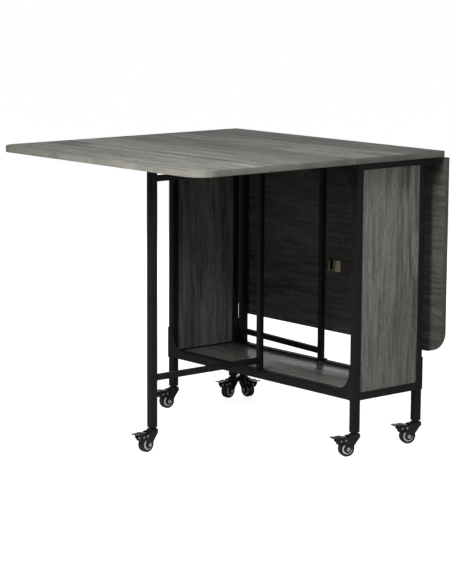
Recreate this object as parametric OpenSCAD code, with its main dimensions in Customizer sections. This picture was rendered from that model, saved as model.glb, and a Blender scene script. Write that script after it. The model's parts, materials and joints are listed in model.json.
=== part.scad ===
// Rolling drop-leaf table: a narrow shelved carcass on casters, two hinged leaves and two swinging gate legs.
// Millimetres, +Z up, floor at z = 0. X runs across the table and Y along it.
// Shown with the left leaf raised on its opened gate, and the right leaf hanging over its folded gate.

/* [Boards] */
// Height of the table top above the floor
table_h = 750; // [735:1:770]
// Thickness of the centre board and both leaves
board_t = 15; // [13:0.5:18]
// Width of the fixed centre board
centre_w = 300; // [298:1:320]
// Length of the centre board and the leaves
top_l = 800; // [770:5:860]
// Width of one leaf, from its hinged edge to its free edge
leaf_w = 500; // [450:5:520]
// Radius of the two free corners of a leaf
leaf_corner_r = 55; // [20:1:90]
// Seam between the centre board and a raised leaf
seam = 1; // [0.8:0.1:1.6]
// Thickness of the low shelf
shelf_t = 15; // [12:0.5:15]
// Thickness of the end panels
panel_t = 15; // [10:0.5:16]
// How far the outer face of an end panel lies behind its frame
panel_recess = 1.5; // [0.5:0.5:3]

/* [Carcass frame] */
// Width of the carcass over its corner posts
frame_w = 236; // [230:1:238]
// Length of the carcass over its corner posts
frame_l = 736; // [716:2:750]
// Side of the square tube of the end frames and gate posts
tube_w = 20; // [18:0.5:21]
// Wall of every square tube
tube_wall = 1.2; // [1:0.1:1.6]
// Outer corner radius of every square tube
tube_r = 2.5; // [2:0.1:3]
// Height of the underside of the low rails above the floor
rail_z = 140; // [120:1:170]
// Height of a long side rail
rail_h = 22; // [21.5:0.5:26]
// Thickness of the sheet steel of the long side rails
sheet_t = 2; // [1.5:0.1:2]
// Depth of the two flanges of a long side rail
flange_w = 20; // [18:0.5:22]
// Outer bend radius between the web and the flanges
bend_r = 3; // [2.5:0.1:4]
// Radius of the concave gussets of the long side rails
gusset_r = 50; // [30:1:70]
// Height of the screwed ears of a long side rail
ear_h = 84; // [80:1:100]

/* [Gates] */
// Distance from a gate's pivot to the middle of its outer post
gate_len = 358; // [345:1:365]
// Distance of a gate's pivot from the middle of the table, across it
pivot_x = 106; // [104:0.5:108]
// Distance of a gate's pivot from the middle of the table, along it
pivot_y = 3; // [0:0.5:8]
// Side of the square tube of the gate's pivot post and bars
bar_w = 15; // [13:0.5:16]
// Underside of a gate's low bar above the floor
low_bar_z = 178; // [172:1:230]
// Distance from the underside of the top down to a gate's high bar
high_bar_drop = 41; // [38:1:80]
// Gap between the top of a gate's outer post and the board over it
gate_top_gap = 1.5; // [1.3:0.1:3]
// Distance from the side of the carcass to the middle of a folded gate's outer post
gate_standoff = 21; // [20.5:0.1:22]
// Diameter of the pins that the gates turn on
pivot_pin_d = 6; // [5:0.5:7]
// Thickness of the steel saddles under and over the pivot posts
saddle_t = 2; // [1.5:0.1:2.5]
// Gap between a pivot post and its saddles
pivot_gap = 0.5; // [0.3:0.1:1]

/* [Leaf hinges and catches] */
// Distance of the leaf hinge axis below the boards, and radius of the hinge knuckles
hinge_drop = 2.5; // [2.4:0.1:3]
// Length of one leaf hinge
hinge_l = 50; // [40:1:60]
// Width of one hinge plate from the axis
hinge_w = 26; // [22:1:28]
// Thickness of a hinge plate
hinge_t = 1.2; // [1:0.1:1.2]
// Distance of the outer hinges from the middle of the table
hinge_y = 300; // [260:5:305]
// Diameter of the hinge pins
hinge_pin_d = 2.4; // [2:0.1:2.4]
// Length of the catch plate, across the leaf
catch_l = 29; // [26:1:34]
// Width of the catch plate between the roots of its arms
catch_w = 44; // [40:1:50]
// Thickness of the catch plate
catch_t = 1; // [0.8:0.1:1.1]
// How far the catch arms stand off the leaf
catch_h = 11; // [9:0.5:13]

/* [Casters] */
// Height of the casters, from the floor to the end of the tube
caster_h = 60; // [58:1:70]
// Diameter of the caster wheels
wheel_d = 40; // [36:1:42]
// Width of the caster wheels
wheel_w = 18; // [14:0.5:19]
// Diameter of the pale wheel core
core_d = 27; // [24:0.5:29]
// Distance of the wheel axle behind the swivel axis
trail = 22; // [18:0.5:24]
// Radius of the round swivel housing
housing_r = 15; // [14:0.1:15.2]
// Diameter of the wheel axle bolt
axle_d = 6; // [5:0.5:7]
// Thickness of the fork cheeks
cheek_t = 2; // [1.5:0.1:2.5]
// Direction of the near left caster
near_left_turn = 160; // [150:1:170]
// Direction of the near right caster
near_right_turn = 156; // [100:1:220]
// Direction of the far left caster
far_left_turn = 172; // [120:1:230]
// Direction of the far right caster
far_right_turn = 187; // [160:1:200]
// Direction of the left gate's caster
gate_left_turn = 185; // [160:1:200]
// Direction of the right gate's caster
gate_right_turn = 270; // [265:1:290]

/* [Screws] */
// Diameter of the frame screws
screw_d = 5; // [4:0.5:5]
// Length of the frame screws under the head
screw_l = 8; // [6:0.5:8.5]
// Diameter of the wood screws
wood_screw_d = 3; // [2.5:0.1:3.5]
// Length of the wood screws under the head
wood_screw_l = 11; // [8:0.5:11]

/* [Hidden] */
$fn = 48;

// Radial running clearance of every pin in its bore
run_clear = 0.05;
// Clearance between a board and the steel it drops into
board_clear = 0.3;
// Height of the underside of the boards
under_z = table_h - board_t;
// Middle of the corner posts
post_x = frame_w/2 - tube_w/2;
post_y = frame_l/2 - tube_w/2;
// Inner faces of the corner posts
inner_x = frame_w/2 - tube_w;
inner_y = frame_l/2 - tube_w;
// Top of the low side rails, and of the shelf that lies in them
rail_top = rail_z + rail_h;
shelf_z = rail_z + sheet_t;
// Leaf hinge axis, in the middle of the seam and below the boards
hinge_x = centre_w/2 + seam/2;
hinge_z = under_z - hinge_drop;
// Middle of a folded gate's outer post across the table, and the angle it folds to
folded_x = frame_w/2 + gate_standoff;
fold_angle = asin((folded_x - pivot_x)/gate_len);
// The origin lies under the middle of the object's box, on the floor
low_x = -(centre_w/2 + seam + leaf_w);
high_x = hinge_x + hinge_drop + board_t;
row_x = -(low_x + high_x)/2;
// Heads of the frame screws and the wood screws
head_d = 1.7*screw_d;
head_h = 0.44*screw_d;
wood_head_d = 2*wood_screw_d;
wood_head_h = 0.45*wood_screw_d;
// Heights of the screws in the ears, over the lower edge of a low rail
ear_screw_low = rail_h/2;
ear_screw_high = ear_h - 18;
// Place of the screws that pass through a low rail into the shelf
shelf_screw_y = inner_y - gusset_r + 1;
// Spacing of the wood screws in the hinge plates and the catches
plate_screw_y = hinge_l/2 - 8;
plate_screw_x = 0.62*hinge_w;
catch_screw_y = 12;
catch_x = pivot_x + gate_len + 8;
catch_screw_x = catch_x + catch_l/2 - 5;
// Places of the screws that pass up through the high rails into the centre board
board_screw_y = [-240, 120, 240];
board_screw_x = frame_w/2 - flange_w/2;
// Caster parts
wheel_r = wheel_d/2;
cheek_y = wheel_w/2 + 1.2;
housing_top = caster_h - 3;
housing_low = caster_h - 14;
rivet_d = 3.4;
brake_x = trail + 17.7;
brake_z = 2*wheel_r + 1;
rivet_x = trail + 4.6;
rivet_z = 2*wheel_r + 2.3;

module in_row() translate([row_x, 0, 0]) children();

// The right side is the left side turned half a turn about the middle of the table
module right_side() rotate([0, 0, 180]) children();

// Outline of a square tube with round corners
module tube_outline(w, r) {
  square([w - 2*r, w], center = true);
  square([w, w - 2*r], center = true);
  for (x = [-1, 1], y = [-1, 1]) translate([x*(w/2 - r), y*(w/2 - r)]) circle(r);
}

module tube_solid(w, l) linear_extrude(l) tube_outline(w, tube_r);

module tube_hollow(w, l) linear_extrude(l) tube_outline(w - 2*tube_wall, tube_r - tube_wall);

// A screw that stands on z = 0 with its shank below
module screw(d, l, hd, hh) {
  difference() {
    union() {
      cylinder(d1 = hd, d2 = 0.72*hd, h = hh);
      translate([0, 0, -l]) cylinder(d = d, h = l + 0.5*hh);
    }
    for (a = [0, 90]) rotate([0, 0, a]) translate([-0.28*hd, -0.06*hd, 0.45*hh]) cube([0.56*hd, 0.12*hd, hh]);
  }
}

module frame_screw() screw(screw_d, screw_l, head_d, head_h);
module wood_screw() screw(wood_screw_d, wood_screw_l, wood_head_d, wood_head_h);
module frame_screw_hole() translate([0, 0, -screw_l - 1]) cylinder(d = screw_d + 2*run_clear, h = screw_l + 2);
module wood_screw_hole() translate([0, 0, -wood_screw_l - 0.4]) cylinder(d = wood_screw_d + 2*run_clear, h = wood_screw_l + 1.4);

// Children face out of the long sides where an ear is screwed to a corner post
module at_ear_screws() {
  heights = [rail_z + ear_screw_low, rail_z + ear_screw_high, under_z - ear_screw_high, under_z - ear_screw_low];
  for (sx = [-1, 1], sy = [-1, 1], z = heights)
    translate([sx*(frame_w/2 + sheet_t), sy*post_y, z]) rotate([0, sx*90, 0]) children();
}

// Children face out of the long sides where a low rail is screwed to the shelf
module at_shelf_screws()
  for (sx = [-1, 1], sy = [-1, 1])
    translate([sx*(frame_w/2 + sheet_t), sy*shelf_screw_y, shelf_z + shelf_t/2 + 1]) rotate([0, sx*90, 0]) children();

// Children face out of the ends where the posts meet the end rails, clear of the ear screws
module at_end_screws()
  for (sx = [-1, 1], sy = [-1, 1], z = [rail_z + ear_screw_low, under_z - ear_screw_low])
    translate([sx*post_x, sy*frame_l/2, z]) rotate([-sy*90, 0, 0]) children();

// Children hang under the centre board where the high rails are screwed to it
module at_board_screws()
  for (sx = [-1, 1], y = board_screw_y)
    translate([sx*board_screw_x, sx*y, under_z - sheet_t]) rotate([180, 0, 0]) children();

// Children stand at the three hinges of the left side
module at_left_hinges() for (y = [-hinge_y, 0, hinge_y]) translate([-hinge_x, y, hinge_z]) children();

// Children hang under one plate of the hinges, on the side sx of the axis
module at_plate_screws(sx)
  at_left_hinges() for (sy = [-1, 1])
    translate([sx*plate_screw_x, sy*plate_screw_y, hinge_drop - hinge_t]) rotate([180, 0, 0]) children();

module at_catch_screws()
  for (sy = [-1, 1])
    translate([-catch_screw_x, pivot_y + sy*catch_screw_y, under_z - catch_t]) rotate([180, 0, 0]) children();

// One welded end frame: two corner posts with a rail low and high, all square tube. s is -1 near and 1 far
module end_frame(s) {
  rail_l = 2*post_x;
  difference() {
    union() {
      for (x = [-1, 1]) translate([x*post_x, s*post_y, caster_h]) tube_solid(tube_w, under_z - caster_h);
      for (z = [rail_z + tube_w/2, under_z - tube_w/2])
        translate([-rail_l/2, s*post_y, z]) rotate([0, 90, 0]) tube_solid(tube_w, rail_l);
    }
    for (x = [-1, 1]) translate([x*post_x, s*post_y, caster_h - 1]) tube_hollow(tube_w, under_z - caster_h + 2);
    for (z = [rail_z + tube_w/2, under_z - tube_w/2])
      translate([-inner_x, s*post_y, z]) rotate([0, 90, 0]) tube_hollow(tube_w, 2*inner_x);
    at_ear_screws() frame_screw_hole();
    at_end_screws() frame_screw_hole();
  }
}

// End panel, standing on the low end rail between the posts
module end_panel(s) {
  face = frame_l/2 - panel_recess;
  h = under_z - rail_z - 2*tube_w;
  translate([0, s*(face - panel_t/2), rail_z + tube_w + h/2])
    cube([2*(inner_x - board_clear), panel_t, h - 0.2], center = true);
}

// Section of a long side rail, open towards the inside of the carcass
module channel_section() {
  w = flange_w + sheet_t;
  difference() {
    union() {
      translate([bend_r, 0]) square([w - bend_r, rail_h]);
      translate([0, bend_r]) square([bend_r, rail_h - 2*bend_r]);
      for (z = [bend_r, rail_h - bend_r]) translate([bend_r, z]) circle(bend_r);
    }
    translate([sheet_t, sheet_t]) square([w, rail_h - 2*sheet_t]);
  }
}

// Web of a long side rail with an ear on each corner post and a concave gusset beside it
module web_outline() {
  translate([-frame_l/2, bend_r]) square([frame_l, rail_h - 2*bend_r]);
  for (s = [-1, 1]) mirror([s < 0 ? 1 : 0, 0]) {
    translate([inner_y, 0]) square([tube_w, ear_h]);
    difference() {
      translate([inner_y - gusset_r, rail_h - bend_r]) square([gusset_r + 0.01, gusset_r + bend_r]);
      translate([inner_y - gusset_r, rail_h + gusset_r]) circle(gusset_r, $fn = 96);
    }
  }
}

// Long side rail of the left side with its lower edge at z = 0
module side_rail() {
  difference() {
    union() {
      translate([-frame_w/2 - sheet_t, inner_y - 0.2, 0]) rotate([90, 0, 0])
        linear_extrude(2*inner_y - 0.4) channel_section();
      translate([-frame_w/2 - sheet_t, 0, 0]) rotate([90, 0, 90]) linear_extrude(sheet_t) web_outline();
    }
    translate([-pivot_x, pivot_y, rail_h - 2*sheet_t]) cylinder(d = pivot_pin_d + 2*run_clear, h = 3*sheet_t);
  }
}

module low_rail() difference() {
  translate([0, 0, rail_z]) side_rail();
  at_ear_screws() frame_screw_hole();
  at_shelf_screws() frame_screw_hole();
}

module high_rail() difference() {
  translate([0, 0, under_z]) mirror([0, 0, 1]) side_rail();
  at_ear_screws() frame_screw_hole();
  at_board_screws() wood_screw_hole();
}

module shelf_board() difference() {
  translate([0, 0, shelf_z + shelf_t/2])
    cube([frame_w - 2*board_clear, 2*(inner_y - board_clear), shelf_t], center = true);
  at_shelf_screws() frame_screw_hole();
}

module centre_top() difference() {
  translate([-centre_w/2, -top_l/2, under_z]) cube([centre_w, top_l, board_t]);
  at_board_screws() wood_screw_hole();
  at_plate_screws(1) wood_screw_hole();
  right_side() at_plate_screws(1) wood_screw_hole();
}

// Left leaf, level, with its two free corners rounded
module leaf_outline() {
  r = leaf_corner_r;
  translate([r, 0]) square([leaf_w - r, top_l]);
  translate([0, r]) square([leaf_w, top_l - 2*r]);
  for (y = [r, top_l - r]) translate([r, y]) circle(r, $fn = 96);
}

module leaf_board() difference() {
  translate([low_x, -top_l/2, under_z]) linear_extrude(board_t) leaf_outline();
  at_plate_screws(-1) wood_screw_hole();
  at_catch_screws() wood_screw_hole();
}

// Knuckles of one hinge: segments from..to in fifths of its length
module knuckles(list) for (i = list)
  translate([0, -hinge_l/2 + i*hinge_l/5 + 0.2, 0]) rotate([-90, 0, 0]) cylinder(r = hinge_drop, h = hinge_l/5 - 0.4);

// One hinge plate with its knuckles. s is 1 for the plate under the centre board and -1 for the leaf's
module hinge_plate(s) {
  own = s > 0 ? [0, 2, 4] : [1, 3];
  other = s > 0 ? [1, 3] : [0, 2, 4];
  difference() {
    union() {
      mirror([s > 0 ? 0 : 1, 0, 0]) translate([0, -hinge_l/2, hinge_drop - hinge_t]) cube([hinge_w, hinge_l, hinge_t]);
      knuckles(own);
    }
    for (i = other) translate([-hinge_drop - 0.5, -hinge_l/2 + i*hinge_l/5 - 0.2, -hinge_drop - 1])
      cube([2*hinge_drop + 1, hinge_l/5 + 0.4, 2*hinge_drop + 2]);
    for (y = [-hinge_l/2 - 0.01, hinge_l/2 - 0.2]) translate([-hinge_drop - 0.5, y, -hinge_drop - 1])
      cube([2*hinge_drop + 1, 0.21, 2*hinge_drop + 2]);
    translate([0, -hinge_l/2 - 1, 0]) rotate([-90, 0, 0]) cylinder(d = hinge_pin_d + 2*run_clear, h = hinge_l + 2);
  }
}

module centre_plates() difference() {
  at_left_hinges() hinge_plate(1);
  at_plate_screws(1) wood_screw_hole();
}

module leaf_plates() difference() {
  at_left_hinges() hinge_plate(-1);
  at_plate_screws(-1) wood_screw_hole();
}

module left_hinge_pins() at_left_hinges()
  translate([0, -hinge_l/2, 0]) rotate([-90, 0, 0]) cylinder(d = hinge_pin_d, h = hinge_l);

// Two sprung arms that lean in towards the top of the gate's outer post
module catch_section() {
  half = catch_w/2;
  grip = tube_w/2 + 0.4;
  side = [
    [half, 0], [half, -catch_t - 0.2], [grip + 0.9, -catch_h + 2.1], [grip + 2.6, -catch_h + 0.4],
    [grip + 2, -catch_h], [grip, -catch_h + 2], [half - 1.3, -catch_t]];
  other = [for (i = [len(side) - 1:-1:0]) [-side[i][0], side[i][1]]];
  polygon(concat(side, other));
}

module leaf_catch() difference() {
  translate([-catch_x - catch_l/2, pivot_y, under_z]) rotate([90, 0, 90]) linear_extrude(catch_l) catch_section();
  at_catch_screws() wood_screw_hole();
}

// Left leaf's screws: two in each hinge plate and two in the catch
module leaf_screws() {
  at_plate_screws(-1) wood_screw();
  at_catch_screws() wood_screw();
}

// Children turn about the right leaf's hinge from level to hanging
module hang() translate([hinge_x, 0, hinge_z]) rotate([0, 90, 0]) translate([-hinge_x, 0, -hinge_z]) children();

// Pin that a gate turns on, at the low end of its pivot post
module low_pivot_pin() translate([0, 0, rail_top - sheet_t]) {
  translate([0, 0, -2.4]) cylinder(d = 1.8*pivot_pin_d, h = 2.4);
  cylinder(d = pivot_pin_d, h = sheet_t + saddle_t + pivot_gap + 20);
}

// Steel saddle that lies over the rail's edge under the pivot post
module low_saddle() difference() {
  union() {
    translate([pivot_x - frame_w/2 - sheet_t - saddle_t, -bar_w/2 - 1.5, rail_top])
      cube([frame_w/2 + sheet_t + saddle_t - pivot_x + bar_w/2, bar_w + 3, saddle_t]);
    translate([pivot_x - frame_w/2 - sheet_t - saddle_t, -bar_w/2 - 1.5, rail_top - 6])
      cube([saddle_t, bar_w + 3, 6 + saddle_t]);
  }
  translate([0, 0, rail_top - 1]) cylinder(d = pivot_pin_d + 2*run_clear, h = saddle_t + 2);
}

// Children at the left pivot, then mirrored to the top rail
module at_left_pivot_ends() translate([-pivot_x, pivot_y, 0]) {
  children();
  translate([0, 0, rail_z + under_z]) mirror([0, 0, 1]) children();
}

// Gate along +X from its pivot axis: pivot post, two bars and the outer post
module gate() {
  low = rail_top + saddle_t + pivot_gap;
  high = rail_z + under_z - low;
  bush = 22;
  difference() {
    union() {
      translate([0, 0, low]) tube_solid(bar_w, high - low);
      translate([gate_len, 0, caster_h]) tube_solid(tube_w, under_z - gate_top_gap - caster_h);
      for (z = [low_bar_z + bar_w/2, under_z - high_bar_drop - bar_w/2])
        translate([0, 0, z]) rotate([0, 90, 0]) tube_solid(bar_w, gate_len);
    }
    translate([0, 0, low + bush]) tube_hollow(bar_w, high - low - 2*bush);
    translate([gate_len, 0, caster_h - 1]) tube_hollow(tube_w, under_z - gate_top_gap - caster_h - tube_wall + 1);
    for (z = [low_bar_z + bar_w/2, under_z - high_bar_drop - bar_w/2])
      translate([bar_w/2, 0, z]) rotate([0, 90, 0]) tube_hollow(bar_w, gate_len - bar_w/2 - tube_w/2);
    for (z = [low - 1, high - bush - 1])
      translate([0, 0, z]) cylinder(d = pivot_pin_d + 2*run_clear, h = bush + 2);
  }
}

module place_gate_left() translate([-pivot_x, pivot_y, 0]) rotate([0, 0, 180]) children();
module place_gate_right() translate([pivot_x, -pivot_y, 0]) rotate([0, 0, 90 - fold_angle]) children();

// Places of the six casters; each trails along its own +X
module place_near_left() translate([-post_x, -post_y, 0]) rotate([0, 0, near_left_turn]) children();
module place_near_right() translate([post_x, -post_y, 0]) rotate([0, 0, near_right_turn]) children();
module place_far_left() translate([-post_x, post_y, 0]) rotate([0, 0, far_left_turn]) children();
module place_far_right() translate([post_x, post_y, 0]) rotate([0, 0, far_right_turn]) children();
module place_gate_left_caster() translate([-pivot_x - gate_len, pivot_y, 0]) rotate([0, 0, gate_left_turn]) children();
module place_gate_right_caster()
  translate([folded_x, gate_len*cos(fold_angle) - pivot_y, 0]) rotate([0, 0, gate_right_turn]) children();

// Plug in the end of a tube with the king pin of the caster
module stem() {
  translate([0, 0, caster_h]) linear_extrude(25) tube_outline(tube_w - 2*tube_wall - 0.4, tube_r - tube_wall);
  translate([0, 0, housing_top + 0.05]) cylinder(r = 9, h = caster_h - housing_top - 0.05);
  translate([0, 0, housing_low - 0.4]) cylinder(r = 4, h = caster_h - housing_low + 1);
  translate([0, 0, housing_low - 0.4]) cylinder(r = 6.5, h = 2.35);
}

// Side view of a fork cheek, with the axle in its round end
module cheek_outline() {
  polygon([
    [-8.5, housing_top - 5], [-8.5, housing_low], [trail - 16.5, wheel_r + 6.5], [trail - 7.5, wheel_r - 6.6],
    [trail, wheel_r], [trail + 7.1, wheel_r + 7.1], [trail + 9.5, 2*wheel_r - 4.5], [brake_x + 3.5, brake_z - 4.6],
    [brake_x + 4.8, brake_z], [brake_x + 1.5, brake_z + 4.6], [rivet_x + 4, brake_z + 5.2], [trail - 5, housing_top - 5]]);
  translate([trail, wheel_r]) circle(10);
}

// Pressed steel fork: round swivel housing, saddle and two cheeks
module fork() difference() {
  union() {
    rotate_extrude() polygon([
      [0, housing_low + 2], [housing_r - 2, housing_low + 2], [housing_r - 2, housing_low], [housing_r, housing_low],
      [housing_r, housing_top - 4], [housing_r - 1.2, housing_top - 1.6], [housing_r - 4, housing_top], [0, housing_top]]);
    translate([-8.5, -cheek_y - cheek_t, housing_top - 7]) cube([trail + 3.5, 2*(cheek_y + cheek_t), 2.2]);
    for (s = [-1, 1]) translate([0, s*(cheek_y + cheek_t/2) + cheek_t/2, 0]) rotate([90, 0, 0])
      linear_extrude(cheek_t) cheek_outline();
  }
  translate([0, 0, housing_low - 1]) cylinder(r = 4 + run_clear, h = 20);
  translate([0, 0, housing_low - 1]) cylinder(r = 7.5, h = 3);
  translate([trail, 0, wheel_r]) rotate([90, 0, 0]) cylinder(d = axle_d + 2*run_clear, h = 60, center = true);
  for (p = [[rivet_x, rivet_z], [brake_x, brake_z]])
    translate([p[0], 0, p[1]]) rotate([90, 0, 0]) cylinder(d = rivet_d + 2*run_clear, h = 60, center = true);
}

module hexagon(r) polygon([for (i = [0:5]) [r*cos(60*i), r*sin(60*i)]]);

// Axle bolt with its nut, and the two rivets of the brake
module axle() {
  out = cheek_y + cheek_t;
  translate([trail, 0, wheel_r]) rotate([90, 0, 0]) {
    translate([0, 0, -out - 4.8]) cylinder(d = axle_d, h = 2*out + 4.8);
    translate([0, 0, out]) linear_extrude(3.4) hexagon(5.4);
    translate([0, 0, out + 3.4]) cylinder(r1 = 4.6, r2 = 3.2, h = 1.6);
    difference() {
      translate([0, 0, -out - 3.8]) linear_extrude(3.8) hexagon(5.4);
      translate([0, 0, -out - 5]) cylinder(d = axle_d + 2*run_clear, h = 6);
    }
  }
  for (p = [[rivet_x, rivet_z], [brake_x, brake_z]]) translate([p[0], 0, p[1]]) rotate([90, 0, 0]) {
    translate([0, 0, -out]) cylinder(d = rivet_d, h = 2*out);
    translate([0, 0, out]) cylinder(r1 = 2.7, r2 = 1.9, h = 1.1);
    translate([0, 0, -out - 1.1]) cylinder(r1 = 1.9, r2 = 2.7, h = 1.1);
  }
}

// Dark tread of the wheel, with rounded shoulders
module tyre() translate([trail, 0, wheel_r]) rotate([90, 0, 0]) rotate_extrude($fn = 96) {
  r = 3;
  translate([core_d/2 + 0.02, -wheel_w/2]) square([wheel_r - r - core_d/2 - 0.02, wheel_w]);
  translate([wheel_r - r - 0.01, -wheel_w/2 + r]) square([r + 0.01, wheel_w - 2*r]);
  for (s = [-1, 1]) translate([wheel_r - r, s*(wheel_w/2 - r)]) circle(r);
}

// Pale core of the wheel, with a boss that runs between the cheeks
module core() {
  half = wheel_w/2;
  bore = axle_d/2 + run_clear;
  translate([trail, 0, wheel_r]) rotate([90, 0, 0]) rotate_extrude() polygon([
    [bore, -cheek_y + 0.1], [bore + 3, -cheek_y + 0.1], [bore + 3, -half + 3], [core_d/2 - 4, -half + 3],
    [core_d/2 - 3.2, -half - 0.3], [core_d/2, -half - 0.3], [core_d/2, half + 0.3], [core_d/2 - 3.2, half + 0.3],
    [core_d/2 - 4, half - 3], [bore + 3, half - 3], [bore + 3, cheek_y - 0.1], [bore, cheek_y - 0.1]]);
}

// Foot brake that rocks on the outer rivet, with a shoe behind the tread
module pedal() {
  inside = cheek_y - 0.8;
  x = brake_x;
  z = brake_z;
  difference() {
    union() {
      for (s = [-1, 1]) translate([0, s*(inside - 0.8) + 0.8, 0]) rotate([90, 0, 0]) linear_extrude(1.6) polygon([
        [x - 14.5, z + 7.6], [x - 14.5, z + 9.2], [x, z + 11.2], [x + 10.3, z + 9.8], [x + 12, z + 5.6],
        [x + 10.5, z - 4], [x + 6.8, z - 4.5], [x + 6.3, z - 10], [x + 3.1, z - 10.8], [x + 1.5, z - 6.5],
        [x - 3.7, z - 2.4], [x - 7.7, z + 2.5]]);
      translate([0, inside, 0]) rotate([90, 0, 0]) linear_extrude(2*inside) polygon([
        [x - 14.5, z + 7.6], [x - 14.5, z + 9.2], [x, z + 11.2], [x + 10.3, z + 9.8], [x + 15, z + 9.6],
        [x + 15, z + 8.1], [x + 10, z + 8.2], [x, z + 9.6]]);
      translate([0, inside + 2.4, 0]) rotate([90, 0, 0]) linear_extrude(2*inside + 4.8) polygon([
        [x + 14, z + 8.1], [x + 14, z + 9.6], [x + 22.5, z + 9.4], [x + 24.3, z + 8.2], [x + 22, z + 7.8]]);
      translate([0, inside, 0]) rotate([90, 0, 0]) linear_extrude(2*inside) polygon([
        [x + 1.5, z - 6.5], [x + 3.1, z - 10.8], [x + 6.3, z - 10], [x + 6.8, z - 4.5], [x + 4.8, z - 3]]);
    }
    translate([x, 0, z]) rotate([90, 0, 0]) cylinder(d = rivet_d + 2*run_clear, h = 60, center = true);
  }
}

module end_frame_near() color([0.05, 0.05, 0.055]) in_row() end_frame(-1);
module end_frame_far() color([0.05, 0.05, 0.055]) in_row() end_frame(1);
module end_panel_near() color([0.36, 0.35, 0.33]) in_row() end_panel(-1);
module end_panel_far() color([0.36, 0.35, 0.33]) in_row() end_panel(1);
module low_rail_left() color([0.05, 0.05, 0.055]) in_row() low_rail();
module low_rail_right() color([0.05, 0.05, 0.055]) in_row() right_side() low_rail();
module high_rail_left() color([0.05, 0.05, 0.055]) in_row() high_rail();
module high_rail_right() color([0.05, 0.05, 0.055]) in_row() right_side() high_rail();
module shelf() color([0.36, 0.35, 0.33]) in_row() shelf_board();
module centre_board() color([0.36, 0.35, 0.33]) in_row() centre_top();
module leaf_left() color([0.36, 0.35, 0.33]) in_row() leaf_board();
module leaf_right() color([0.36, 0.35, 0.33]) in_row() hang() right_side() leaf_board();
module gate_left() color([0.05, 0.05, 0.055]) in_row() place_gate_left() gate();
module gate_right() color([0.05, 0.05, 0.055]) in_row() place_gate_right() gate();
module centre_hinge_plates() color([0.7, 0.7, 0.7]) in_row() {
  centre_plates();
  right_side() centre_plates();
}
module leaf_left_hinge_plates() color([0.7, 0.7, 0.7]) in_row() leaf_plates();
module leaf_right_hinge_plates() color([0.7, 0.7, 0.7]) in_row() hang() right_side() leaf_plates();
module hinge_pins() color([0.7, 0.7, 0.7]) in_row() {
  left_hinge_pins();
  right_side() left_hinge_pins();
}
module pivot_pins() color([0.6, 0.6, 0.6]) in_row() {
  at_left_pivot_ends() low_pivot_pin();
  right_side() at_left_pivot_ends() low_pivot_pin();
}
module pivot_saddles() color([0.05, 0.05, 0.055]) in_row() {
  at_left_pivot_ends() low_saddle();
  right_side() at_left_pivot_ends() low_saddle();
}
module catch_left() color([0.8, 0.65, 0.3]) in_row() leaf_catch();
module catch_right() color([0.8, 0.65, 0.3]) in_row() hang() right_side() leaf_catch();
module frame_screws() color([0.1, 0.1, 0.1]) in_row() {
  at_ear_screws() frame_screw();
  at_shelf_screws() frame_screw();
  at_end_screws() frame_screw();
}
module centre_screws() color([0.6, 0.6, 0.6]) in_row() {
  at_board_screws() wood_screw();
  at_plate_screws(1) wood_screw();
  right_side() at_plate_screws(1) wood_screw();
}
module leaf_left_screws() color([0.6, 0.6, 0.6]) in_row() leaf_screws();
module leaf_right_screws() color([0.6, 0.6, 0.6]) in_row() hang() right_side() leaf_screws();
module carcass_stems() color([0.12, 0.12, 0.12]) in_row()
  for (x = [-post_x, post_x], y = [-post_y, post_y]) translate([x, y, 0]) stem();
module gate_left_stem() color([0.12, 0.12, 0.12]) in_row() place_gate_left() translate([gate_len, 0, 0]) stem();
module gate_right_stem() color([0.12, 0.12, 0.12]) in_row() place_gate_right() translate([gate_len, 0, 0]) stem();
module fork_near_left() color([0.08, 0.08, 0.08]) in_row() place_near_left() fork();
module axle_near_left() color([0.8, 0.8, 0.8]) in_row() place_near_left() axle();
module tyre_near_left() color([0.1, 0.1, 0.1]) in_row() place_near_left() tyre();
module core_near_left() color([0.85, 0.85, 0.83]) in_row() place_near_left() core();
module pedal_near_left() color([0.06, 0.06, 0.06]) in_row() place_near_left() pedal();
module fork_near_right() color([0.08, 0.08, 0.08]) in_row() place_near_right() fork();
module axle_near_right() color([0.8, 0.8, 0.8]) in_row() place_near_right() axle();
module tyre_near_right() color([0.1, 0.1, 0.1]) in_row() place_near_right() tyre();
module core_near_right() color([0.85, 0.85, 0.83]) in_row() place_near_right() core();
module pedal_near_right() color([0.06, 0.06, 0.06]) in_row() place_near_right() pedal();
module fork_far_left() color([0.08, 0.08, 0.08]) in_row() place_far_left() fork();
module axle_far_left() color([0.8, 0.8, 0.8]) in_row() place_far_left() axle();
module tyre_far_left() color([0.1, 0.1, 0.1]) in_row() place_far_left() tyre();
module core_far_left() color([0.85, 0.85, 0.83]) in_row() place_far_left() core();
module pedal_far_left() color([0.06, 0.06, 0.06]) in_row() place_far_left() pedal();
module fork_far_right() color([0.08, 0.08, 0.08]) in_row() place_far_right() fork();
module axle_far_right() color([0.8, 0.8, 0.8]) in_row() place_far_right() axle();
module tyre_far_right() color([0.1, 0.1, 0.1]) in_row() place_far_right() tyre();
module core_far_right() color([0.85, 0.85, 0.83]) in_row() place_far_right() core();
module pedal_far_right() color([0.06, 0.06, 0.06]) in_row() place_far_right() pedal();
module fork_gate_left() color([0.08, 0.08, 0.08]) in_row() place_gate_left_caster() fork();
module axle_gate_left() color([0.8, 0.8, 0.8]) in_row() place_gate_left_caster() axle();
module tyre_gate_left() color([0.1, 0.1, 0.1]) in_row() place_gate_left_caster() tyre();
module core_gate_left() color([0.85, 0.85, 0.83]) in_row() place_gate_left_caster() core();
module pedal_gate_left() color([0.06, 0.06, 0.06]) in_row() place_gate_left_caster() pedal();
module fork_gate_right() color([0.08, 0.08, 0.08]) in_row() place_gate_right_caster() fork();
module axle_gate_right() color([0.8, 0.8, 0.8]) in_row() place_gate_right_caster() axle();
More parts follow.
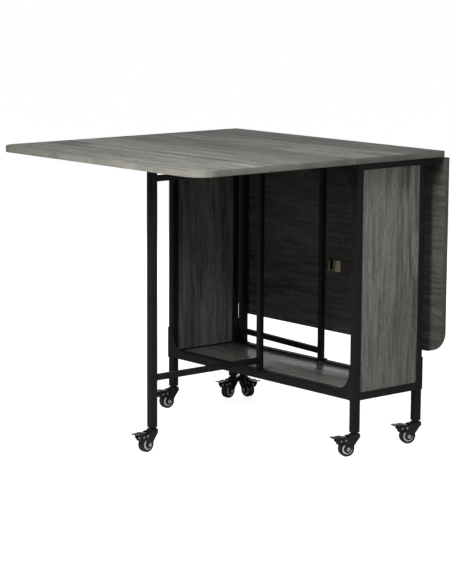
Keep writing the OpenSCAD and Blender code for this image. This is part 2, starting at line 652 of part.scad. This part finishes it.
module tyre_gate_right() color([0.1, 0.1, 0.1]) in_row() place_gate_right_caster() tyre();
module core_gate_right() color([0.85, 0.85, 0.83]) in_row() place_gate_right_caster() core();
module pedal_gate_right() color([0.06, 0.06, 0.06]) in_row() place_gate_right_caster() pedal();

end_frame_near();
end_frame_far();
end_panel_near();
end_panel_far();
low_rail_left();
low_rail_right();
high_rail_left();
high_rail_right();
shelf();
centre_board();
leaf_left();
leaf_right();
gate_left();
gate_right();
centre_hinge_plates();
leaf_left_hinge_plates();
leaf_right_hinge_plates();
hinge_pins();
pivot_pins();
pivot_saddles();
catch_left();
catch_right();
frame_screws();
centre_screws();
leaf_left_screws();
leaf_right_screws();
carcass_stems();
gate_left_stem();
gate_right_stem();
fork_near_left();
axle_near_left();
tyre_near_left();
core_near_left();
pedal_near_left();
fork_near_right();
axle_near_right();
tyre_near_right();
core_near_right();
pedal_near_right();
fork_far_left();
axle_far_left();
tyre_far_left();
core_far_left();
pedal_far_left();
fork_far_right();
axle_far_right();
tyre_far_right();
core_far_right();
pedal_far_right();
fork_gate_left();
axle_gate_left();
tyre_gate_left();
core_gate_left();
pedal_gate_left();
fork_gate_right();
axle_gate_right();
tyre_gate_right();
core_gate_right();
pedal_gate_right();
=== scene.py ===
import json
import math

import bmesh
import bpy
from mathutils import Matrix, Vector


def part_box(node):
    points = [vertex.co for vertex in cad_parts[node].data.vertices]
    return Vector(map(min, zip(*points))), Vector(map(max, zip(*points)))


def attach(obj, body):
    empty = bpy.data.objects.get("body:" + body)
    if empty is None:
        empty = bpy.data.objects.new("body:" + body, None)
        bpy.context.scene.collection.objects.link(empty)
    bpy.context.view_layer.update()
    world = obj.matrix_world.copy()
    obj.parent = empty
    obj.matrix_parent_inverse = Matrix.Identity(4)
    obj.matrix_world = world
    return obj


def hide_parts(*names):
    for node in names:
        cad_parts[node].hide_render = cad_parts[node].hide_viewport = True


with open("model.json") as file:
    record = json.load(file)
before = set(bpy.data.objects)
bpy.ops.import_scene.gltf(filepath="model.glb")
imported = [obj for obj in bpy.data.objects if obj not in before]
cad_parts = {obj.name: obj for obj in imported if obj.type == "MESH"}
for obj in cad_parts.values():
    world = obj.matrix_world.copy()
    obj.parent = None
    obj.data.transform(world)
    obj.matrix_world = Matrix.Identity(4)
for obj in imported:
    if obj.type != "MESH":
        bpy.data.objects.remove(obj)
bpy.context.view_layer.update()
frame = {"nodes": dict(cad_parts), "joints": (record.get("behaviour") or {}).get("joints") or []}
nodes = frame["nodes"]

# Radius of the outer corners of a leaf, and of every softened board edge, in metres
LEAF_CORNER_R = 0.055
BOARD_EDGE_R = 0.0007
# Darkest, middle and lightest grey of the printed oak
WOOD_GREYS = ((0.085, 0.085, 0.078), (0.145, 0.144, 0.133), (0.205, 0.203, 0.189))
WHITE = (1, 1, 1, 1)


def new_tree(name):
    """A new material whose node tree holds only its shader and its output."""
    mat = bpy.data.materials.new(name)
    mat.use_nodes = True
    tree = mat.node_tree
    tree.nodes.clear()
    out = tree.nodes.new("ShaderNodeOutputMaterial")
    shader = tree.nodes.new("ShaderNodeBsdfPrincipled")
    tree.links.new(shader.outputs["BSDF"], out.inputs["Surface"])
    return mat, tree, shader


def node(tree, kind, **values):
    """A new node with its properties and the defaults of its named inputs set."""
    made = tree.nodes.new(kind)
    for key, value in values.items():
        if hasattr(made, key):
            setattr(made, key, value)
        else:
            made.inputs[key.replace("_", " ")].default_value = value
    return made


def coords(tree, scale):
    """Object coordinates in metres, multiplied by scale."""
    where = tree.nodes.new("ShaderNodeTexCoord")
    mapping = tree.nodes.new("ShaderNodeMapping")
    mapping.inputs["Scale"].default_value = scale
    tree.links.new(where.outputs["Object"], mapping.inputs["Vector"])
    return mapping.outputs["Vector"]


def noise(tree, vector, scale, detail=4.0, rough=0.5, distort=0.0):
    """Fractal noise from 0 to 1 over the vector."""
    made = node(tree, "ShaderNodeTexNoise", Scale=scale, Detail=detail, Roughness=rough, Distortion=distort)
    tree.links.new(vector, made.inputs["Vector"])
    return made.outputs["Fac"]


def ramp(tree, value, stops):
    """A colour ramp with (position, colour or grey) stops."""
    made = tree.nodes.new("ShaderNodeValToRGB")
    line = made.color_ramp
    while len(line.elements) < len(stops):
        line.elements.new(0.5)
    for element, (place, shade) in zip(line.elements, stops):
        element.position = place
        element.color = (shade, shade, shade, 1) if isinstance(shade, float) else (*shade, 1)
    tree.links.new(value, made.inputs["Fac"])
    return made.outputs["Color"]


def mix(tree, factor, a, b, how="MIX"):
    """Mixes two colours. factor, a and b are sockets or constants."""
    made = tree.nodes.new("ShaderNodeMix")
    made.data_type = "RGBA"
    made.blend_type = how
    for socket, value in ((made.inputs[0], factor), (made.inputs[6], a), (made.inputs[7], b)):
        if isinstance(value, bpy.types.NodeSocket):
            tree.links.new(value, socket)
        elif isinstance(value, tuple):
            socket.default_value = (*value, 1)
        else:
            socket.default_value = value
    return made.outputs[2]


def calc(tree, how, a, b):
    """One step of arithmetic. a and b are sockets or constants."""
    made = tree.nodes.new("ShaderNodeMath")
    made.operation = how
    for socket, value in ((made.inputs[0], a), (made.inputs[1], b)):
        if isinstance(value, bpy.types.NodeSocket):
            tree.links.new(value, socket)
        else:
            socket.default_value = value
    return made.outputs[0]


def bump(tree, shader, height, distance, strength):
    """Relief in the shader's normal, distance metres deep."""
    made = node(tree, "ShaderNodeBump", Strength=strength, Distance=distance)
    tree.links.new(height, made.inputs["Height"])
    tree.links.new(made.outputs["Normal"], shader.inputs["Normal"])


def wood(name, grain, seed, bands_depth, tone, gloss=0.22, rough=0.45):
    """Printed grey oak along the grain axis: wide bands, streaks, fibres, pores and a few arched figures.

    seed shifts the pattern, and a small scale along the grain stretches it that way."""
    mat, tree, shader = new_tree(name)
    shift = node(tree, "ShaderNodeVectorMath", operation="ADD")
    shift.inputs[1].default_value = (seed, seed * 0.7, seed * 1.3)
    long_scale = {"y": (1, 0.06, 1), "z": (1, 1, 0.06)}[grain]
    tree.links.new(coords(tree, long_scale), shift.inputs[0])
    where = shift.outputs[0]
    short_scale = {"y": (1, 0.14, 1), "z": (1, 1, 0.14)}[grain]
    near = coords(tree, short_scale)
    bands = noise(tree, where, 26.0, detail=4.0, rough=0.6, distort=0.5)
    streaks = noise(tree, where, 130.0, detail=5.0, rough=0.7, distort=0.35)
    fibres = noise(tree, near, 420.0, detail=5.0, rough=0.75, distort=0.2)
    pores = noise(tree, near, 1100.0, detail=2.0, rough=0.8)
    figure = node(tree, "ShaderNodeTexWave", wave_type="RINGS", rings_direction="SPHERICAL", Scale=17.0,
                  Distortion=11.0, Detail=3.0, Detail_Scale=1.8, Detail_Roughness=0.65)
    tree.links.new(where, figure.inputs["Vector"])
    patches = ramp(tree, noise(tree, near, 9.0, detail=1.0), [(0.5, 0.0), (0.62, 0.7)])
    # tone lightens or darkens all the greys of a board; it is set per board as painted light and painted
    # shade, since every board carries the same printed oak
    dark, middle, light = (tuple(tone * c for c in shade) for shade in WOOD_GREYS)
    grey = ramp(tree, bands, [(0.3, dark), (0.5, middle), (0.7, light)])
    tinted = mix(tree, bands_depth, middle, grey)
    layers = (
        (patches, figure.outputs["Fac"], [(0.05, 0.45), (0.4, 1.0)]),
        (0.85, streaks, [(0.32, 0.35), (0.5, 0.9), (0.68, 1.25)]),
        (0.8, fibres, [(0.34, 0.45), (0.5, 0.95), (0.68, 1.2)]),
        (0.5, pores, [(0.34, 0.3), (0.44, 1.0)]),
    )
    for amount, value, stops in layers:
        tinted = mix(tree, amount, tinted, ramp(tree, value, stops), "MULTIPLY")
    tree.links.new(tinted, shader.inputs["Base Color"])
    uneven = ramp(tree, streaks, [(0.2, rough + 0.07), (0.8, rough - 0.07)])
    tree.links.new(uneven, shader.inputs["Roughness"])
    shader.inputs["Specular IOR Level"].default_value = gloss
    relief = calc(tree, "ADD", calc(tree, "MULTIPLY", fibres, 0.5), calc(tree, "MULTIPLY", pores, 0.5))
    bump(tree, shader, relief, distance=0.0003, strength=0.35)
    return mat


def edge_band(name, along, dark, light):
    """Glued edge band: yellower than the faces, with lines that run along the edge."""
    mat, tree, shader = new_tree(name)
    lines = noise(tree, coords(tree, along), 900.0, detail=4.0, rough=0.65)
    cloud = noise(tree, coords(tree, (1, 1, 1)), 18.0, detail=3.0)
    shades = ramp(tree, cloud, [(0.35, dark), (0.65, light)])
    tone = mix(tree, 0.7, shades, ramp(tree, lines, [(0.3, 0.6), (0.6, 1.0)]), "MULTIPLY")
    tree.links.new(tone, shader.inputs["Base Color"])
    tree.links.new(ramp(tree, lines, [(0.3, 0.5), (0.7, 0.4)]), shader.inputs["Roughness"])
    shader.inputs["Specular IOR Level"].default_value = 0.3
    bump(tree, shader, lines, distance=0.0001, strength=0.3)
    return mat


def paint(name, shade, rough, gloss):
    """Powder coat: a near black with a fine orange peel and faint handling marks."""
    mat, tree, shader = new_tree(name)
    where = coords(tree, (1, 1, 1))
    peel = noise(tree, where, 900.0, detail=2.0, rough=0.6)
    marks = noise(tree, where, 35.0, detail=5.0, rough=0.65)
    dark = tuple(0.82 * c for c in shade)
    light = tuple(1.25 * c for c in shade)
    tree.links.new(ramp(tree, marks, [(0.3, dark), (0.7, light)]), shader.inputs["Base Color"])
    uneven = ramp(tree, marks, [(0.25, rough - 0.06), (0.75, rough + 0.06)])
    tree.links.new(uneven, shader.inputs["Roughness"])
    shader.inputs["Specular IOR Level"].default_value = gloss
    bump(tree, shader, peel, distance=0.00012, strength=0.4)
    return mat


def metal(name, shade, rough):
    """Plated or brushed metal with fine lines, slightly uneven in tone and gloss."""
    mat, tree, shader = new_tree(name)
    lines = noise(tree, coords(tree, (1, 1, 0.05)), 900.0, detail=3.0, rough=0.7)
    cloud = noise(tree, coords(tree, (1, 1, 1)), 60.0, detail=4.0)
    dull = tuple(0.8 * c for c in shade)
    clouded = ramp(tree, cloud, [(0.3, dull), (0.7, shade)])
    tone = mix(tree, 0.35, clouded, ramp(tree, lines, [(0.3, 0.7), (0.7, 1.0)]), "MULTIPLY")
    tree.links.new(tone, shader.inputs["Base Color"])
    tree.links.new(ramp(tree, lines, [(0.2, rough + 0.1), (0.8, rough - 0.05)]), shader.inputs["Roughness"])
    shader.inputs["Metallic"].default_value = 1.0
    bump(tree, shader, lines, distance=0.00005, strength=0.3)
    return mat


def plastic(name, shade, rough):
    """Moulded plastic or rubber with a fine texture and a little dust."""
    mat, tree, shader = new_tree(name)
    where = coords(tree, (1, 1, 1))
    fine = noise(tree, where, 1400.0, detail=2.0)
    dust = noise(tree, where, 90.0, detail=5.0, rough=0.7)
    dusty = tuple(min(1.0, 1.2 * c + 0.008) for c in shade)
    tree.links.new(ramp(tree, dust, [(0.35, shade), (0.75, dusty)]), shader.inputs["Base Color"])
    tree.links.new(ramp(tree, dust, [(0.3, rough - 0.05), (0.7, rough + 0.07)]), shader.inputs["Roughness"])
    bump(tree, shader, fine, distance=0.0001, strength=0.4)
    return mat


# All boards carry the same printed oak, and their tones differ only as painted light and shade: the hanging
# leaf is darker as painted shade, and the shelf and upright panels are lighter than the top as painted light
wood_top = wood("grey_oak_along_the_top", "y", seed=0.0, bands_depth=0.95, tone=1.36, gloss=0.1)
wood_leaf_painted_shade = wood("grey_oak_of_the_hanging_leaf_in_painted_shade", "y", seed=3.1, bands_depth=0.35, tone=0.76)
wood_shelf = wood("grey_oak_of_the_shelf", "y", seed=5.7, bands_depth=0.6, tone=1.5, gloss=0.6, rough=0.28)
wood_panel = wood("grey_oak_upright", "z", seed=1.9, bands_depth=0.6, tone=1.6)
band_level = edge_band("band_of_a_level_board", along=(0.05, 0.05, 1),
                       dark=(0.14, 0.136, 0.115), light=(0.2, 0.195, 0.17))
# The hanging leaf's band is the same band as on the level boards, given darker greys as painted shade
band_hanging_painted_shade = edge_band("band_of_the_hanging_leaf_in_painted_shade", along=(1, 0.05, 0.05),
                         dark=(0.09, 0.088, 0.075), light=(0.12, 0.118, 0.102))
frame_paint = paint("black_powder_coat", (0.0095, 0.0095, 0.0097), rough=0.5, gloss=0.22)
fork_paint = paint("glossy_black_fork", (0.006, 0.006, 0.0062), rough=0.22, gloss=0.45)
dark_screw = metal("black_oxide_screw", (0.08, 0.08, 0.085), rough=0.38)
zinc = metal("zinc_plate", (0.62, 0.62, 0.63), rough=0.3)
bright = metal("bright_bolt", (0.83, 0.83, 0.84), rough=0.22)
brass = metal("brass_spring", (0.4, 0.35, 0.25), rough=0.32)
tyre_rubber = plastic("black_tread", (0.007, 0.007, 0.007), rough=0.36)
core_plastic = plastic("pale_wheel_core", (0.72, 0.72, 0.70), rough=0.4)
pedal_plastic = plastic("black_pedal", (0.006, 0.006, 0.006), rough=0.25)

# Looks of single nodes, then looks by how a node's name starts, the first match counting
LOOKS = {
    "leaf_left": wood_top, "centre_board": wood_top, "leaf_right": wood_leaf_painted_shade, "shelf": wood_shelf,
    "end_panel_near": wood_panel, "end_panel_far": wood_panel, "catch_left": brass, "catch_right": brass,
    "frame_screws": dark_screw,
}
PREFIX_LOOKS = [
    (("end_frame", "low_rail", "high_rail", "carcass_stems", "gate_", "pivot_saddles"), frame_paint),
    (("fork_",), fork_paint), (("axle_",), bright),
    (("tyre_",), tyre_rubber), (("core_",), core_plastic), (("pedal_",), pedal_plastic),
    (("centre_", "leaf_", "hinge_pins", "pivot_pins"), zinc),
]


def look_of(name):
    """The material of a CAD node."""
    if name in LOOKS:
        return LOOKS[name]
    for prefixes, mat in PREFIX_LOOKS:
        if name.startswith(prefixes):
            return mat
    raise ValueError(name)


for name, piece in nodes.items():
    piece.data.materials.clear()
    piece.data.materials.append(look_of(name))


def outline(low, high, corner_r=0.0):
    """Board outline between two corners, anticlockwise, with the two corners at low x rounded by corner_r."""
    if corner_r == 0:
        return [(low.x, low.y), (high.x, low.y), (high.x, high.y), (low.x, high.y)]
    made = [(high.x, low.y), (high.x, high.y)]
    steps = 20
    for middle_y, start in ((high.y - corner_r, 90), (low.y + corner_r, 180)):
        for i in range(steps + 1):
            a = math.radians(start + 90 * i / steps)
            made.append((low.x + corner_r + corner_r * math.cos(a), middle_y + corner_r * math.sin(a)))
    return made


def board(name, stands_for, body, corners, face_mat, band_mat, corner_r=0.0, place=None):
    """A board with softened edges and a glued edge band in its own finish, in place of the CAD board.

    corners are its lowest and highest corner. place turns it from there to where it hangs."""
    low, high = corners
    points = outline(low, high, corner_r)
    made = bmesh.new()
    under = [made.verts.new((x, y, low.z)) for x, y in points]
    over = [made.verts.new((x, y, high.z)) for x, y in points]
    made.faces.new(list(reversed(under)))
    made.faces.new(over)
    for i in range(len(points)):
        j = (i + 1) % len(points)
        side = made.faces.new((under[i], under[j], over[j], over[i]))
        side.material_index = 1
    rims = [e for e in made.edges if abs(e.verts[0].co.z - e.verts[1].co.z) < 1e-9]
    bmesh.ops.bevel(made, geom=rims, offset=BOARD_EDGE_R, segments=2, profile=0.5, affect="EDGES",
                    clamp_overlap=True)
    if place is not None:
        bmesh.ops.transform(made, matrix=place, verts=made.verts)
    mesh = bpy.data.meshes.new(name)
    made.to_mesh(mesh)
    made.free()
    mesh.polygons.foreach_set("use_smooth", [True] * len(mesh.polygons))
    mesh.set_sharp_from_angle(angle=math.radians(50))
    mesh.materials.append(face_mat)
    mesh.materials.append(band_mat)
    piece = bpy.data.objects.new(name, mesh)
    bpy.context.collection.objects.link(piece)
    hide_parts(stands_for)
    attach(piece, body)


# The hanging leaf is the level left leaf, turned about its hinge and carried over to the right hinge
hinge = {joint["name"]: Vector(joint["pos_m"]) for joint in frame["joints"]}
hang = (Matrix.Translation(hinge["right_leaf_fold"]) @ Matrix.Rotation(math.radians(90), 4, "Y")
        @ Matrix.Rotation(math.radians(180), 4, "Z") @ Matrix.Translation(-hinge["left_leaf_lift"]))
level_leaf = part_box("leaf_left")
board("raised_leaf_board", "leaf_left", "left_leaf", level_leaf, wood_top, band_level, LEAF_CORNER_R)
board("hanging_leaf_board", "leaf_right", "right_leaf", level_leaf, wood_leaf_painted_shade, band_hanging_painted_shade,
      LEAF_CORNER_R, hang)
board("centre_top_board", "centre_board", "carcass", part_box("centre_board"), wood_top, band_level)
board("low_shelf_board", "shelf", "carcass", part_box("shelf"), wood_shelf, band_level)
for end in ("near", "far"):
    stands_for = "end_panel_" + end
    board("end_panel_board_" + end, stands_for, "carcass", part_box(stands_for), wood_panel, wood_panel)


def camera_swap(tree, kind, plain, seen):
    """One shader for camera rays and another for every other ray, into the tree's output of that kind."""
    out = tree.nodes.new(kind)
    rays = tree.nodes.new("ShaderNodeLightPath")
    swap = tree.nodes.new("ShaderNodeMixShader")
    tree.links.new(rays.outputs["Is Camera Ray"], swap.inputs[0])
    tree.links.new(plain, swap.inputs[1])
    tree.links.new(seen, swap.inputs[2])
    tree.links.new(swap.outputs[0], out.inputs["Surface"])


def pale_floor():
    """A floor that looks near white to the camera, keeps the shadow and throws little light back."""
    mat = bpy.data.materials.new("pale_floor")
    mat.use_nodes = True
    tree = mat.node_tree
    tree.nodes.clear()
    lit = node(tree, "ShaderNodeBsdfDiffuse", Color=(0.55, 0.55, 0.55, 1))
    glow = node(tree, "ShaderNodeEmission", Color=WHITE, Strength=0.88)
    both = tree.nodes.new("ShaderNodeAddShader")
    tree.links.new(lit.outputs[0], both.inputs[0])
    tree.links.new(glow.outputs[0], both.inputs[1])
    plain = node(tree, "ShaderNodeBsdfDiffuse", Color=(0.4, 0.4, 0.4, 1))
    camera_swap(tree, "ShaderNodeOutputMaterial", plain.outputs[0], both.outputs[0])
    half = 30
    corners = [(-half, -half, 0), (half, -half, 0), (half, half, 0), (-half, half, 0)]
    mesh = bpy.data.meshes.new("floor")
    mesh.from_pydata(corners, [], [(0, 1, 2, 3)])
    mesh.materials.append(mat)
    made = bpy.data.objects.new("floor", mesh)
    bpy.context.collection.objects.link(made)
    return made


def studio_world():
    """A dim even room that lights the part, and a white background that only the camera sees."""
    world = bpy.data.worlds.new("studio")
    bpy.context.scene.world = world
    world.use_nodes = True
    tree = world.node_tree
    tree.nodes.clear()
    room = node(tree, "ShaderNodeBackground", Color=WHITE, Strength=0.21)
    white = node(tree, "ShaderNodeBackground", Color=WHITE, Strength=1.0)
    camera_swap(tree, "ShaderNodeOutputWorld", room.outputs[0], white.outputs[0])


def area_light(name, place, target, size, power):
    """A soft box at a place, facing a target. size is its two sides in metres, power is in watts."""
    data = bpy.data.lights.new(name, "AREA")
    data.shape = "RECTANGLE"
    data.size, data.size_y = size
    data.energy = power
    lamp = bpy.data.objects.new(name, data)
    bpy.context.collection.objects.link(lamp)
    lamp.location = place
    aim = Vector(target) - Vector(place)
    lamp.rotation_mode = "QUATERNION"
    lamp.rotation_quaternion = aim.to_track_quat("-Z", "Y")
    return lamp


floor = pale_floor()
studio_world()
main = area_light("main", (-1.15, -0.55, 1.5), (-0.1, -0.05, 0.72), size=(0.7, 0.7), power=40)
area_light("front", (0.6, -2.9, 1.0), (0.2, 0, 0.45), size=(1.2, 1.2), power=14)
area_light("side", (-2.6, -0.8, 3.4), (0, 0, 0.6), size=(1.8, 1.8), power=6)
back = area_light("back", (2.3, 2.6, 1.7), (0.2, 0, 0.5), size=(1.6, 1.6), power=50)
low_back = area_light("low_back", (1.9, 1.9, 0.42), (0, 0, 0.2), size=(3.0, 0.5), power=4)
# The main lamp and the back lamp light the boards without glare, and the low one hides from the camera
main.visible_glossy = False
back.visible_glossy = False
low_back.visible_camera = False

# Camera fitted to the photograph: place in the part's frame in metres, then yaw, pitch and roll in degrees
CAMERA_PLACE = (-3.44658, -4.06819, 1.27224)
YAW, PITCH, ROLL = 40.402, -9.493, 0.293
SENSOR_MM, FOCAL_MM = 36, 130.53


def fitted_camera():
    """The camera that sees the table as the photograph does."""
    yaw, pitch, roll = (math.radians(angle) for angle in (YAW, PITCH, ROLL))
    ahead = Vector((math.sin(yaw) * math.cos(pitch), math.cos(yaw) * math.cos(pitch), math.sin(pitch)))
    right = Vector((math.cos(yaw), -math.sin(yaw), 0))
    up = right.cross(ahead)
    tilted_right = math.cos(roll) * right + math.sin(roll) * up
    tilted_up = -math.sin(roll) * right + math.cos(roll) * up
    data = bpy.data.cameras.new("camera")
    data.sensor_width = SENSOR_MM
    data.lens = FOCAL_MM
    data.clip_end = 100
    made = bpy.data.objects.new("camera", data)
    bpy.context.collection.objects.link(made)
    turn = Matrix((tilted_right, tilted_up, -ahead)).transposed()
    made.matrix_world = Matrix.Translation(CAMERA_PLACE) @ turn.to_4x4()
    return made


bpy.context.scene.camera = fitted_camera()
bpy.context.scene.view_settings.view_transform = "Standard"
